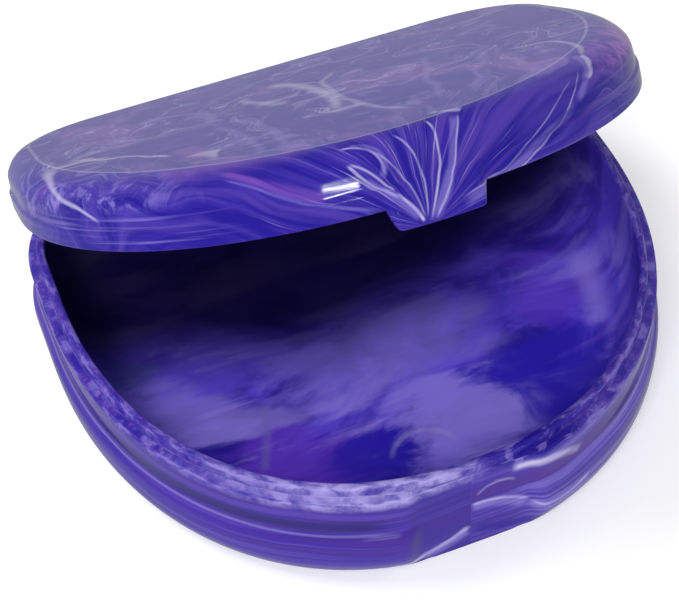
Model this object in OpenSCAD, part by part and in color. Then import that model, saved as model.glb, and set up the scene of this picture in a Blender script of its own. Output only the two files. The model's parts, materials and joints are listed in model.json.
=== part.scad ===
// Hinged case for a mouthguard: a D-shaped bowl with a latch recess at its front,
// a shallow lid that shuts over the bowl's raised lip, and the pin that joins them.
// Frame: +X to the right, +Y to the hinge at the back, +Z up, origin under the bowl's middle.

/* [Plan] */
// Width of the rim, side to side
case_w = 80; // [66:1:96]
// Depth of the rim, front to back
case_d = 69.8; // [60:0.2:84]
// How far behind the front edge the plan is widest, as a length
front_d = 46.8; // [39:0.1:50]
// Fullness of the round front, where 2 is an ellipse
front_power = 2.18; // [1.8:0.02:2.6]
// Radius of the two back corners
corner_r = 15.6; // [12:0.2:19]

/* [Bowl] */
// Height of the ledge that the lid shuts on
ledge_z = 14.2; // [11.8:0.1:19]
// Width of that ledge
ledge_w = 1.25; // [1.1:0.05:1.8]
// Width of the raised lip inside the ledge
lip_w = 1.2; // [1:0.05:1.8]
// Height of the lip above the ledge
lip_h = 1.4; // [0.8:0.1:2]
// How far the lower band stands out from the upper wall
band_out = 0.8; // [0.3:0.1:1.2]
// Height of the lower band's upper edge
band_z = 8.2; // [6.8:0.1:9.4]
// Thickness of the bowl's floor
floor_t = 1.8; // [1.4:0.1:2.4]

/* [Lid] */
// Height of the lid above the ledge, measured at its front
lid_h = 7.9; // [6.5:0.1:10]
// Thickness of the lid's top
lid_t = 1.5; // [1.2:0.1:2]
// Height of the plain flange round the lid's lower edge
flange_h = 2.4; // [2:0.1:2.8]
// Fall of the lid's top from front to back, in degrees
top_fall = 1; // [0:0.5:2]
// How far the lid stands open
lid_open = 30.5; // [0:0.5:110]

/* [Latch] */
// Width of the latch tab at its top
tab_w = 11.2; // [9:0.1:14]
// How much narrower the tab is at its bottom edge
tab_taper = 1; // [0:0.1:2]
// How far the tab hangs below the ledge
tab_drop = 2.3; // [1.9:0.1:4]
// Thickness of the tab
tab_t = 1.5; // [1.2:0.1:1.8]

/* [Hinge] */
// Radius of the hinge pin
pin_r = 0.8; // [0.6:0.05:1]
// Wall of the knuckles round the pin's bore
knuckle_wall = 0.9; // [0.7:0.05:1.1]
// Length of the whole row of knuckles
hinge_w = 38; // [30:1:42]
// Number of knuckles, the first and last on the bowl
knuckles = 5; // [3:2:7]

/* [Clearances] */
// Radial clearance of the pin in the lid's knuckles
run_gap = 0.07; // [0.03:0.01:0.1]
// Clearance of the shut lid from the bowl's ledge and lip
shut_gap = 0.15; // [0.1:0.01:0.2]
// Clearance between neighbouring knuckles, and of knuckles from the walls
side_gap = 0.3; // [0.2:0.05:0.5]
// Clearance of the latch tab from each side of its recess
tab_gap = 1; // [0.4:0.1:1.5]

/* [Hidden] */

// Plan: the widest line of the outline lies this far behind the middle
wide_y = front_d - case_d / 2;
back_d = case_d - front_d;
rim_w = ledge_w + lip_w;

// Inset of the foot, always behind the recess's flat back
foot_in = ledge_w + 0.05;
// Recess in the bowl's front wall that the latch tab shuts into
recess_y = -case_d / 2 + ledge_w - 0.1;
recess_half = tab_w / 2 + tab_gap;
cheek_w = 2.8;

// Lid: the skirt's outer face is a little inside the bowl's outline
skirt_in = 0.28;
skirt_t = ledge_w - skirt_in - shut_gap;
lid_z = ledge_z + shut_gap;
rebate_z = ledge_z + lip_h + shut_gap;
fall = tan(top_fall);

// Hinge: the axis runs just behind the back wall, a little below the ledge
knuckle_r = pin_r + knuckle_wall;
axis_y = case_d / 2 + knuckle_r + side_gap - 0.05;
axis_z = ledge_z - 0.9;
pitch = hinge_w / knuckles;

// Angles at which the front curve is sampled, closer together across the recess
FRONT = concat([for (a = [0:1.3:15.6]) a], [for (a = [21:6.9:90]) a]);
CORNER = [for (a = [0:15:90]) a];

// One closed ring of the plan, set in by f at the front, s at the sides and b at the back,
// with corner radius r and front fullness e
function half(f, s, b, r, e) =
    let (w = case_w / 2 - s, d = front_d - f, k = back_d - b, c = min(r, k - 0.5))
    concat(
        [for (a = FRONT) [w * pow(sin(a), 2 / e), wide_y - d * pow(cos(a), 2 / e)]],
        [for (a = CORNER) [w - c + c * cos(a), wide_y + k - c + c * sin(a)]],
        [[0, wide_y + k]]);
function ring(f, s, b, r, e) =
    let (h = half(f, s, b, r, e), n = len(h))
    concat(h, [for (i = [n - 2:-1:1]) [-h[i][0], h[i][1]]]);
// The same ring set in by one distance all round
function even(i) = ring(i, i, i, max(corner_r - i, 2), front_power);

// 1 across the recess, falling smoothly to 0 over its cheeks
function cheek(x) =
    let (t = min(max((abs(x) - recess_half) / cheek_w, 0), 1)) 1 - t * t * (3 - 2 * t);
function recessed(p) =
    [for (q = p) [q[0], q[1] + cheek(q[0]) * max(recess_y - q[1], 0)]];
function lift(p, z, slope = 0) = [for (q = p) [q[0], q[1], z - slope * (q[1] + case_d / 2)]];

// Closed solid through a list of rings that all have the same number of points,
// listed so that the skin runs up its outside
module skin(rings) {
    n = len(rings[0]);
    m = len(rings);
    sides = [for (k = [0:m - 2], i = [0:n - 1], half = [0, 1])
        let (a = k * n + i, b = k * n + (i + 1) % n)
        half == 0 ? [a, a + n, b] : [b, a + n, b + n]];
    bottom = [[for (i = [0:n - 1]) i]];
    top = [[for (i = [n - 1:-1:0]) (m - 1) * n + i]];
    polyhedron(points = [for (r = rings, p = r) p], faces = concat(bottom, sides, top));
}

// A row of knuckles along the hinge axis: this piece's share of them, with their arms
module knuckle_row(first, arm) {
    for (i = [first:2:knuckles - 1]) {
        x0 = -hinge_w / 2 + i * pitch + (i == 0 ? 0 : side_gap / 2);
        x1 = -hinge_w / 2 + (i + 1) * pitch - (i == knuckles - 1 ? 0 : side_gap / 2);
        translate([x0, 0, 0]) rotate([90, 0, 90]) {
            translate([axis_y, axis_z, 0]) cylinder(r = knuckle_r, h = x1 - x0, $fn = 48);
            linear_extrude(x1 - x0) polygon(arm);
        }
    }
}

module bore(r) {
    translate([-hinge_w, axis_y, axis_z]) rotate([0, 90, 0]) cylinder(r = r, h = 2 * hinge_w, $fn = 48);
}

module bowl() {
    wall_y = case_d / 2;
    arm = [[wall_y - 0.8, axis_z - 4.4], [axis_y + 0.95, axis_z - 1.1],
           [axis_y, axis_z], [wall_y - 0.8, axis_z]];
    color("mediumslateblue") difference() {
        union() {
            skin([
                lift(even(foot_in), 0),
                lift(recessed(even(0.35)), 0.45),
                lift(recessed(even(-0.1 * band_out)), 1.3),
                lift(recessed(even(-0.8 * band_out)), 3),
                lift(recessed(even(-band_out)), 5.2),
                lift(recessed(even(-0.9 * band_out)), band_z - 0.8),
                lift(recessed(even(-0.35 * band_out)), band_z - 0.1),
                lift(recessed(even(0.15)), band_z + 0.5),
                lift(recessed(even(0.05)), band_z + 2.5),
                lift(recessed(even(0)), ledge_z - 0.4),
                lift(recessed(even(0.2)), ledge_z),
                lift(even(ledge_w), ledge_z),
                lift(even(ledge_w + 0.1), ledge_z + lip_h - 0.3),
                lift(even(ledge_w + 0.4), ledge_z + lip_h),
                lift(even(rim_w - 0.3), ledge_z + lip_h),
                lift(even(rim_w), ledge_z + lip_h - 0.4),
                lift(even(rim_w + 0.2), ledge_z * 0.6 + floor_t),
                lift(even(rim_w + 1), ledge_z * 0.34 + floor_t),
                lift(even(rim_w + 3), ledge_z * 0.13 + floor_t),
                lift(even(rim_w + 6), ledge_z * 0.035 + floor_t),
                lift(even(rim_w + 11), floor_t)
            ]);
            knuckle_row(0, arm);
        }
        bore(pin_r);
    }
}

// The lid as it lies shut
module lid_shut() {
    skirt_y = case_d / 2 - skirt_in;
    tab_y = recess_y - shut_gap;
    arm = [[skirt_y - 0.35, lid_z + 0.15], [axis_y - 1.55, lid_z + 0.15], [axis_y - 1.25, axis_z + 0.1],
           [axis_y, axis_z], [axis_y + 0.75, axis_z + 1.2], [skirt_y - 0.35, lid_z + flange_h - 0.1]];
    top_z = ledge_z + lid_h;
    difference() {
        union() {
            skin([
                lift(even(6.2), top_z - lid_t, fall),
                lift(even(3.6), top_z - lid_t - 0.8, fall * 0.7),
                lift(even(2.4), top_z - lid_t - 2.4, fall * 0.4),
                lift(even(ledge_w + 1), rebate_z + 0.5),
                lift(even(ledge_w + 0.8), rebate_z),
                lift(even(skirt_in + skirt_t), rebate_z),
                lift(even(skirt_in + skirt_t), lid_z),
                lift(even(skirt_in), lid_z),
                lift(even(skirt_in), lid_z + flange_h - 0.25),
                lift(even(skirt_in + 0.35), lid_z + flange_h + 0.15),
                lift(ring(0.7, 0.75, 0.7, corner_r - 0.8, front_power), ledge_z + lid_h * 0.64, fall * 0.5),
                lift(ring(1.1, 1.5, 1.1, corner_r - 1.7, front_power - 0.06), ledge_z + lid_h * 0.83, fall * 0.8),
                lift(ring(1.8, 2.8, 1.7, corner_r - 3.2, front_power - 0.16), ledge_z + lid_h * 0.955, fall),
                lift(ring(2.75, 4.35, 2.6, corner_r - 5.3, front_power - 0.3), top_z, fall)
            ]);
            knuckle_row(1, arm);
            latch_tab(tab_y);
        }
        bore(pin_r + run_gap);
    }
}

// Tab that hangs from the middle of the lid's front edge and shuts into the recess
module latch_tab(y) {
    half = tab_w / 2;
    low = ledge_z - tab_drop;
    front = -case_d / 2 + skirt_in;
    intersection() {
        translate([half, 0, 0]) rotate([0, -90, 0]) linear_extrude(tab_w)
            polygon([[low, y - 0.2], [low, y - tab_t + 0.3], [low + 0.4, y - tab_t],
                     [lid_z + 0.6, y - tab_t], [lid_z + flange_h, front + 0.05],
                     [lid_z + flange_h, front + skirt_t - 0.1], [lid_z + 0.2, front + skirt_t - 0.1],
                     [lid_z, y], [low + 0.3, y]]);
        translate([0, -case_d / 2 + 5, 0]) rotate([90, 0, 0]) linear_extrude(10)
            polygon([[-half + tab_taper / 2, low], [half - tab_taper / 2, low],
                     [half, lid_z], [half, lid_z + 5], [-half, lid_z + 5], [-half, lid_z]]);
    }
}

module lid() {
    color("slateblue") translate([0, axis_y, axis_z]) rotate([-lid_open, 0, 0])
        translate([0, -axis_y, -axis_z]) lid_shut();
}

module hinge_pin() {
    color("lavender") translate([-hinge_w / 2, axis_y, axis_z]) rotate([0, 90, 0])
        cylinder(r = pin_r, h = hinge_w, $fn = 48);
}

bowl();
lid();
hinge_pin();
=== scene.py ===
# %% [markdown]
# # A marbled case for a mouthguard
# The case is two glossy mouldings on one hinge: a D-shaped bowl with a latch recess at its
# front, and a shallow lid that stands half open. The plastic is swirled blue, violet and
# lavender, and the swirls show how the melt ran. We rebuild both mouldings as smooth skins
# around the plain working model, which keeps the sizes and the hinge.

import json
import math
from types import SimpleNamespace

import bpy
import numpy as np
from mathutils import Matrix, Vector


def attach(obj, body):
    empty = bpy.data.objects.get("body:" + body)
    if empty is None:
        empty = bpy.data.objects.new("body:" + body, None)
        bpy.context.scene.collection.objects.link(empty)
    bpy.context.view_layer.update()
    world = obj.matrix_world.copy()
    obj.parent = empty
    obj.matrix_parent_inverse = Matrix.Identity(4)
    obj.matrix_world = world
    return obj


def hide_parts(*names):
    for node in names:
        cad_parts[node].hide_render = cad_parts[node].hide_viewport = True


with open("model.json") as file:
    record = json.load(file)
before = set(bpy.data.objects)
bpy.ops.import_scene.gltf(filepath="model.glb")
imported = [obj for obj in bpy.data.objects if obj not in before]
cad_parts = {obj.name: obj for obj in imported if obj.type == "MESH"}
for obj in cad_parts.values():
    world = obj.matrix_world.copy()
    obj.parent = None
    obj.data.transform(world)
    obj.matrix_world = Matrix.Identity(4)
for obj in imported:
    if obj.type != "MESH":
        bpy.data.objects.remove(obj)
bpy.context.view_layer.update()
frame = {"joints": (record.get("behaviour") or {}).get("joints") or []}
MM = 0.001

# %% [markdown]
# ## Camera, floor and light
# A case this small is looked at from a hand's length or two away, so the perspective is
# plain to see. The camera stands in front and a little to the left, and looks down at the
# open lid. One matrix built from yaw, pitch and roll is easier to correct than three Euler
# angles, so the camera gets that.

# %% Camera
LENS, SHIFT_X, SHIFT_Y = 88.31, -0.0175, -0.0177
camera_yaw, camera_pitch, camera_roll = (math.radians(a) for a in (18.28, 47.02, -4.26))
camera_target = Vector((-0.65, 5.0, 7.0)) * MM
camera_distance = 223.8 * MM

forward = Vector((
    math.sin(camera_yaw) * math.cos(camera_pitch),
    math.cos(camera_yaw) * math.cos(camera_pitch),
    -math.sin(camera_pitch)))
level = Vector((math.cos(camera_yaw), -math.sin(camera_yaw), 0))
upright = level.cross(forward)
right = level * math.cos(camera_roll) + upright * math.sin(camera_roll)
up = upright * math.cos(camera_roll) - level * math.sin(camera_roll)

camera = bpy.data.objects.new("camera", bpy.data.cameras.new("camera"))
bpy.context.scene.collection.objects.link(camera)
turn = Matrix((right, up, -forward)).transposed().to_4x4()
turn.translation = camera_target - forward * camera_distance
camera.matrix_world = turn
camera.data.sensor_width = 36.0
camera.data.lens = LENS
camera.data.shift_x = SHIFT_X
camera.data.shift_y = SHIFT_Y
camera.data.clip_start = 0.01
bpy.context.scene.camera = camera
bpy.context.scene.view_settings.view_transform = "Standard"
print("lens", LENS, "mm, looking down by", round(math.degrees(camera_pitch), 1), "degrees")


# %% Helpers that add nodes and join them up
def add(tree, kind, sockets=None, **settings):
    """Adds one node: settings are its own properties, sockets are values or links."""
    new = tree.nodes.new(kind)
    for key, value in settings.items():
        setattr(new, key, value)
    for key, value in (sockets or {}).items():
        if isinstance(value, bpy.types.NodeSocket):
            tree.links.new(value, new.inputs[key])
        else:
            new.inputs[key].default_value = value
    return new


def calc(tree, operation, *values):
    """One Math node, and its result."""
    return add(tree, "ShaderNodeMath", dict(enumerate(values)), operation=operation).outputs[0]


def times(tree, value, factor, shift=0.0):
    """The value times a factor, plus a shift."""
    return calc(tree, "MULTIPLY_ADD", value, factor, shift)


def fade(tree, value, start, stop, low=0.0, high=1.0):
    """Goes smoothly from low at start to high at stop."""
    sockets = {0: value, 1: start, 2: stop, 3: low, 4: high}
    return add(tree, "ShaderNodeMapRange", sockets, interpolation_type="SMOOTHSTEP").outputs[0]


# %% [markdown]
# A studio for a shiny thing needs two kinds of light. Two large lamps light the colour of the
# plastic, and they are kept out of its reflections. One small window is there only to be
# mirrored, as the short bright glint beside the latch. The floor is left out of reflections
# too, because at this low angle the lid's top would mirror it and turn white.

# %% Floor and lights
def area_light(name, place, aim, size, watts, colour=(1, 1, 1)):
    """A soft square lamp at place that points at aim, all in metres."""
    lamp = bpy.data.lights.new(name, "AREA")
    lamp.shape = "RECTANGLE"
    lamp.size, lamp.size_y = size
    lamp.energy = watts
    lamp.color = colour
    holder = bpy.data.objects.new(name, lamp)
    bpy.context.scene.collection.objects.link(holder)
    holder.location = place
    holder.rotation_euler = (Vector(aim) - Vector(place)).to_track_quat("-Z", "Y").to_euler()
    return holder


def plain_floor(size):
    """A pale paper floor, a square with the given side in metres."""
    mesh = bpy.data.meshes.new("floor")
    half = size / 2
    corners = [(-half, -half, 0), (half, -half, 0), (half, half, 0), (-half, half, 0)]
    mesh.from_pydata(corners, [], [(0, 1, 2, 3)])
    floor = bpy.data.objects.new("floor", mesh)
    bpy.context.scene.collection.objects.link(floor)
    material = bpy.data.materials.new("floor_paper")
    material.use_nodes = True
    surface = material.node_tree.nodes["Principled BSDF"]
    surface.inputs["Base Color"].default_value = (0.8, 0.8, 0.8, 1)
    surface.inputs["Roughness"].default_value = 0.9
    surface.inputs["Emission Color"].default_value = (1, 1, 1, 1)
    surface.inputs["Emission Strength"].default_value = 0.3
    surface.inputs["Specular IOR Level"].default_value = 0.1
    mesh.materials.append(material)
    floor.visible_glossy = False
    return floor


plain_floor(4.0)
key = area_light("key_softbox", (-1.0, -1.45, 1.95), (0, 0, 0), (1.2, 1.2), 35)
back = area_light("back_softbox", (-1.1, 0.85, 2.0), (0, 0, 0), (0.8, 0.8), 21)
for lamp in (key, back):
    lamp.visible_glossy = False
area_light("small_window", (-0.157, -0.66, 0.30), (-0.01, -0.02, 0.05), (0.16, 0.015), 0.55)

world = bpy.data.worlds.new("studio")
bpy.context.scene.world = world
world.use_nodes = True
world.node_tree.nodes["Background"].inputs["Color"].default_value = (1.0, 1.0, 1.0, 1)
world.node_tree.nodes["Background"].inputs["Strength"].default_value = 0.42

# %% [markdown]
# ## The plan of the case
# Seen from above, the case is a D: a round front, two short straight sides, round back
# corners and a straight back for the hinge. One function gives that outline, and each
# moulding is a section carried round it. The columns of the mesh are closer together where
# the latch sits, because the recess and the tab have tight curves there.

# %% Sizes of the case
case_w, case_d, front_d = 80.0, 69.8, 46.8
corner_r, front_power = 15.6, 2.18
ledge_z, ledge_w, lip_w, lip_h = 14.2, 1.25, 1.2, 1.4
shut_gap, skirt_in = 0.15, 0.28
lid_h, lid_t, flange_h = 7.9, 1.5, 2.4
tab_w, tab_drop, tab_taper = 11.2, 2.3, 1.0
recess_half, cheek_w = 6.6, 2.8

front_y = -case_d / 2
wide_y = front_d + front_y
skirt_t = ledge_w - skirt_in - shut_gap
lid_z = ledge_z + shut_gap
recess_y = front_y + ledge_w - 0.1
hinge = frame["joints"][0]
hinge_y, hinge_z = hinge["pos_m"][1] / MM, hinge["pos_m"][2] / MM
lid_open = -hinge["range_deg"][0]
print("hinge axis at y", round(hinge_y, 2), "z", round(hinge_z, 2), "mm, lid open", lid_open)


# %% One outline of the plan
def outline(inset_front=0.0, inset_side=0.0, inset_back=0.0, radius=corner_r, power=front_power):
    """Points of the D, from the middle of the back round by the left side, in mm."""
    half_w = case_w / 2 - inset_side
    deep = front_d - inset_front
    back = case_d - front_d - inset_back
    fine = [i * 0.55 for i in range(20)]
    latch = [tab_w / 2 + d for d in (-0.5, -0.25, -0.1, -0.04, 0.04, 0.1, 0.25, 0.5)]
    xs = sorted(set([x for x in fine if abs(x - tab_w / 2) > 0.6] + latch))
    angles = [math.asin((x / half_w) ** (power / 2)) for x in xs]
    steps = 44
    rest = [angles[-1] + (math.pi / 2 - angles[-1]) * (i + 1) / steps for i in range(steps)]
    half = [(half_w * math.sin(a) ** (2 / power), wide_y - deep * max(math.cos(a), 0) ** (2 / power))
            for a in angles + rest]
    side = back - radius
    half += [(half_w, wide_y + side * (i + 1) / 4) for i in range(3)]
    for i in range(25):
        a = math.pi / 2 * i / 24
        half.append((half_w - radius + radius * math.cos(a), wide_y + side + radius * math.sin(a)))
    straight = half_w - radius
    half += [(straight * (1 - (i + 1) / 16), wide_y + back) for i in range(16)]
    left = [(-x, y) for x, y in reversed(half[1:-1])]
    return [half[-1]] + left + half[:-1]


rim_plan = outline()
crease_plan = outline(2.75, 4.35, 2.6, corner_r - 5.3, front_power - 0.3)
print("columns round the case", len(rim_plan), len(crease_plan))


# %% Curves that the skins are swept from
def path_object(name, points, closed):
    """A poly curve of 3D points given in mm."""
    data = bpy.data.curves.new(name, "CURVE")
    data.dimensions = "3D"
    data.twist_mode = "Z_UP"
    line = data.splines.new("POLY")
    line.points.add(len(points) - 1)
    for place, point in zip(line.points, points):
        place.co = (point[0] * MM, point[1] * MM, point[2] * MM, 1)
    line.use_cyclic_u = closed
    made = bpy.data.objects.new(name, data)
    bpy.context.scene.collection.objects.link(made)
    return made


def eased(points, steps=5):
    """A smooth curve through the points (Catmull and Rom's), without its last point."""
    ends = [points[0]] + list(points) + [points[-1]]
    made = []
    for p0, p1, p2, p3 in zip(ends, ends[1:], ends[2:], ends[3:]):
        for i in range(steps):
            t = i / steps
            made.append(tuple(
                0.5 * (2 * b + (c - a) * t + (2 * a - 5 * b + 4 * c - d) * t * t
                       + (3 * b - a - 3 * c + d) * t ** 3)
                for a, b, c, d in zip(p0, p1, p2, p3)))
    return made


def rounded(corners, steps=5):
    """Straight lines between (inset, height, radius) corners, with the corners rounded."""
    made = [corners[0][:2]]
    for before, here, after in zip(corners, corners[1:], corners[2:]):
        middle = Vector(here[:2])
        back = Vector(before[:2]) - middle
        ahead = Vector(after[:2]) - middle
        reach = min(here[2], back.length * 0.49, ahead.length * 0.49)
        first, last = middle + back.normalized() * reach, middle + ahead.normalized() * reach
        for i in range(steps + 1):
            t = i / steps
            made.append(tuple(first * (1 - t) ** 2 + middle * 2 * t * (1 - t) + last * t * t))
    return made + [corners[-1][:2]]


# %% [markdown]
# ## Skins by Geometry Nodes
# A moulding like this follows a rule, so the rule makes it: a section, drawn once, runs
# round the plan. A first idea is to loft rings in code. A node tree does the same with
# named inputs that can be changed later. Its section carries a third number, how far the
# ring shrinks to the middle, and that closes the floor and the underside in one go.

# %% Small tools for working with points
def product(tree, *values):
    """All the values multiplied together."""
    whole = values[0]
    for value in values[1:]:
        whole = calc(tree, "MULTIPLY", whole, value)
    return whole


def apart(tree, vector):
    """A vector's x, y and z."""
    return add(tree, "ShaderNodeSeparateXYZ", {0: vector}).outputs


def together(tree, x=0.0, y=0.0, z=0.0):
    """A vector made of x, y and z."""
    return add(tree, "ShaderNodeCombineXYZ", {0: x, 1: y, 2: z}).outputs[0]


def placed(tree, geometry, place):
    """The geometry with its points moved to the given places."""
    sockets = {"Geometry": geometry, "Position": place}
    return add(tree, "GeometryNodeSetPosition", sockets).outputs[0]


def shape_of(tree, holder):
    """The geometry of an object that is one of the tree's inputs."""
    return add(tree, "GeometryNodeObjectInfo", {"Object": holder}).outputs["Geometry"]


# %% Sweep the section round the plan
def swept_rings(tree, given):
    """One skin whose points know their column, their row and the section's third number."""
    plan = shape_of(tree, given["Plan"])
    section = shape_of(tree, given["Section"])
    place = add(tree, "GeometryNodeInputPosition").outputs[0]
    length = add(tree, "GeometryNodeSplineParameter").outputs["Length"]
    index = add(tree, "GeometryNodeInputIndex").outputs[0]
    for name, value, kind in (("column", index, "INT"), ("around", length, "FLOAT")):
        sockets = {"Geometry": plan, "Name": name, "Value": value}
        plan = add(tree, "GeometryNodeStoreNamedAttribute", sockets, data_type=kind).outputs[0]
    across, high, third = apart(tree, place)
    for name, value in (("blend", third), ("row", index)):
        sockets = {"Geometry": section, "Name": name, "Value": value}
        section = add(tree, "GeometryNodeStoreNamedAttribute", sockets).outputs[0]
    # A sweep lays the section upside down, so it goes in turned by half a turn.
    turned = together(tree, times(tree, across, -1.0), times(tree, high, -1.0))
    section = placed(tree, section, turned)
    sockets = {"Curve": plan, "Profile Curve": section}
    return add(tree, "GeometryNodeCurveToMesh", sockets).outputs[0]


# %% Lead the rings over to the crease, close them, and tilt the top
def closed_rings(tree, given, skin):
    """From 0 to 1 a ring goes over to the crease's plan. Below 0 and above 1 it shrinks."""
    place = add(tree, "GeometryNodeInputPosition").outputs[0]
    blend = add(tree, "GeometryNodeInputNamedAttribute", {"Name": "blend"}).outputs[0]
    column = add(tree, "GeometryNodeInputNamedAttribute", {"Name": "column"}, data_type="INT").outputs[0]
    sockets = {"Geometry": shape_of(tree, given["Crease Plan"]), "Value": place, "Index": column}
    target = add(tree, "GeometryNodeSampleIndex", sockets, data_type="FLOAT_VECTOR").outputs[0]
    here = apart(tree, place)
    there = apart(tree, target)
    share = calc(tree, "MINIMUM", calc(tree, "MAXIMUM", blend, 0.0), 1.0)
    shrink = calc(tree, "MAXIMUM", times(tree, blend, -1.0), calc(tree, "SUBTRACT", blend, 1.0))
    keep = calc(tree, "SUBTRACT", 1.0, calc(tree, "MAXIMUM", shrink, 0.0))
    level = []
    for i in range(2):
        gap = calc(tree, "SUBTRACT", there[i], here[i])
        level.append(product(tree, calc(tree, "MULTIPLY_ADD", share, gap, here[i]), keep))
    x, y = level
    slope = product(tree, fade(tree, here[2], given["Fall From"], given["Fall To"]), given["Fall"])
    from_front = calc(tree, "SUBTRACT", y, front_y * MM)
    z = calc(tree, "SUBTRACT", here[2], product(tree, slope, from_front))
    return placed(tree, skin, together(tree, x, y, z))


# %% How the latch tab is drawn down
def tab_pull(tree, given, here, sideways):
    """Where the tab is, how low a point lies in the skirt, and how far it is pulled."""
    half = given["Tab Half Width"]
    at_front = calc(tree, "LESS_THAN", here[1], (front_y + 4) * MM)
    in_tab = product(tree, calc(tree, "LESS_THAN", sideways, half), at_front)
    face_y = front_y + skirt_in
    outside = fade(tree, here[1], (face_y + 0.25) * MM, (face_y + 0.7) * MM, 1.0, 0.0)
    low_inside = fade(tree, here[2], lid_z * MM, (lid_z + 1.3) * MM, 1.0, 0.0)
    low_outside = fade(tree, here[2], lid_z * MM, given["Skirt Top"], 1.0, 0.0)
    gap = calc(tree, "SUBTRACT", low_outside, low_inside)
    low = calc(tree, "MULTIPLY_ADD", outside, gap, low_inside)
    # The tab's lower corners are quarter circles.
    corner = 0.6 * MM
    past = calc(tree, "SUBTRACT", sideways, calc(tree, "SUBTRACT", half, corner))
    past = calc(tree, "MAXIMUM", past, 0.0)
    square = calc(tree, "SUBTRACT", corner * corner, product(tree, past, past))
    arc = calc(tree, "SQRT", calc(tree, "MAXIMUM", square, 0.0))
    reach = calc(tree, "SUBTRACT", given["Tab Drop"], calc(tree, "SUBTRACT", corner, arc))
    return in_tab, product(tree, in_tab, low), reach


# %% How far the tab's outer face stands proud
def tab_bulge(tree, given, here, sideways):
    """The bulge of the tab's outer face, with rounded edges."""
    edge = 0.45 * MM
    room = calc(tree, "MAXIMUM", calc(tree, "SUBTRACT", given["Tab Half Width"], sideways), 0.0)
    inwards = calc(tree, "MINIMUM", calc(tree, "DIVIDE", room, edge), 1.0)
    back = calc(tree, "SUBTRACT", 1.0, inwards)
    round_edge = calc(tree, "SQRT", calc(tree, "SUBTRACT", 1.0, product(tree, back, back)))
    face_y = front_y + skirt_in
    outer_face = fade(tree, here[1], (face_y + 0.25) * MM, (face_y + 0.7) * MM, 1.0, 0.13)
    below = fade(tree, here[2], (lid_z + 1.0) * MM, given["Skirt Top"], 1.0, 0.0)
    return product(tree, product(tree, round_edge, outer_face), product(tree, below, given["Tab Bulge"]))


# %% Press the recess in and shape the tab
def latched(tree, given, skin):
    """The skin with its latch: a recess in the bowl, or a tab on the lid."""
    here = apart(tree, add(tree, "GeometryNodeInputPosition").outputs[0])
    sideways = calc(tree, "ABSOLUTE", here[0])
    outer = calc(tree, "ADD", given["Recess Half Width"], given["Cheek Width"])
    cheek = fade(tree, sideways, given["Recess Half Width"], outer, 1.0, 0.0)
    behind = calc(tree, "MAXIMUM", calc(tree, "SUBTRACT", given["Recess Plane"], here[1]), 0.0)
    y = calc(tree, "ADD", here[1], product(tree, cheek, behind))

    in_tab, pulled, reach = tab_pull(tree, given, here, sideways)
    z = calc(tree, "SUBTRACT", here[2], product(tree, pulled, reach))
    narrow = calc(tree, "SUBTRACT", 1.0, product(tree, pulled, given["Tab Taper"]))
    x = product(tree, here[0], narrow)
    bulge = tab_bulge(tree, given, here, sideways)
    y = calc(tree, "SUBTRACT", y, product(tree, bulge, in_tab))

    # The tab's inner face is flat, a hair in front of the bowl's recess.
    beneath = product(tree, fade(tree, z, (ledge_z + 0.3) * MM, (ledge_z + 0.65) * MM, 1.0, 0.0), in_tab)
    too_deep = calc(tree, "MAXIMUM", calc(tree, "SUBTRACT", y, (front_y + 0.95) * MM), 0.0)
    y = calc(tree, "SUBTRACT", y, product(tree, too_deep, beneath))
    return placed(tree, skin, together(tree, x, y, z))


# %% Put the tree together
def new_tree(name, inputs):
    """An empty tree with a geometry output and the named inputs, and those inputs."""
    tree = bpy.data.node_groups.new(name, "GeometryNodeTree")
    face = tree.interface
    face.new_socket("Geometry", in_out="OUTPUT", socket_type="NodeSocketGeometry")
    for label, kind in inputs:
        face.new_socket(label, in_out="INPUT", socket_type="NodeSocket" + kind)
    return tree, add(tree, "NodeGroupInput").outputs


def skin_tree():
    """The tree that makes a moulding's whole skin."""
    objects = [(name, "Object") for name in ("Plan", "Crease Plan", "Section")]
    sizes = [(name, "Float") for name in (
        "Fall", "Fall From", "Fall To", "Recess Plane", "Recess Half Width", "Cheek Width",
        "Tab Half Width", "Tab Drop", "Tab Taper", "Tab Bulge", "Skirt Top")]
    tree, given = new_tree("moulded_skin", objects + sizes + [("Material", "Material")])
    skin = swept_rings(tree, given)
    skin = closed_rings(tree, given, skin)
    skin = latched(tree, given, skin)
    skin = add(tree, "GeometryNodeFlipFaces", {"Mesh": skin}).outputs[0]
    same = {"Geometry": skin, "Distance": 0.002 * MM}
    skin = add(tree, "GeometryNodeMergeByDistance", same).outputs[0]
    skin = add(tree, "GeometryNodeSetShadeSmooth", {"Geometry": skin}).outputs[0]
    skin = add(tree, "GeometryNodeRealizeInstances", {"Geometry": skin}).outputs[0]
    dressed = {"Geometry": skin, "Material": given["Material"]}
    skin = add(tree, "GeometryNodeSetMaterial", dressed).outputs[0]
    add(tree, "NodeGroupOutput", {0: skin})
    return tree


SKIN = skin_tree()
print("nodes in the skin tree", len(SKIN.nodes))


# %% [markdown]
# ## From tree to mesh
# A tree's result only lives as long as its modifier. It could stay live, but then every later
# step would wait for it. So we evaluate it once, keep a plain mesh, and take the modifier off.
# A signed volume is a quick test of the result: it is above zero only if the skin is closed
# and its faces point outwards.

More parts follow.
